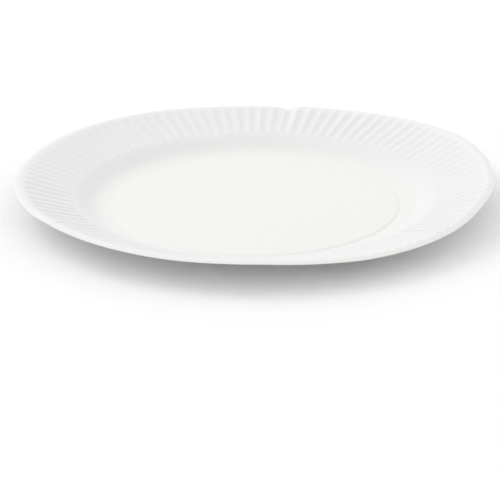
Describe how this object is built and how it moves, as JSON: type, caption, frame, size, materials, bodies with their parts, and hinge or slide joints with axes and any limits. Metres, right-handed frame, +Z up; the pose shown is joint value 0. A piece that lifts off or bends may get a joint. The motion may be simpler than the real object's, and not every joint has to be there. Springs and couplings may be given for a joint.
{
  "type": "paper plate",
  "caption": "Round single-use plate pressed from white board: flat floor, sloping wall, rim of radial flutes and a plain turned-down lip.",
  "frame": {"origin": "centre of the ring that the plate stands on, at the table", "axes": "+Z up out of the dish, along the plate's axis; +X and +Y across the plate, each along a groove of the rim"},
  "size_m": [0.23, 0.23, 0.013],
  "materials": {
    "board": "uncoated bleached paperboard, matte"
  },
  "bodies": {
    "root": {"paper_plate": "board"}
  },
  "joints": []
}
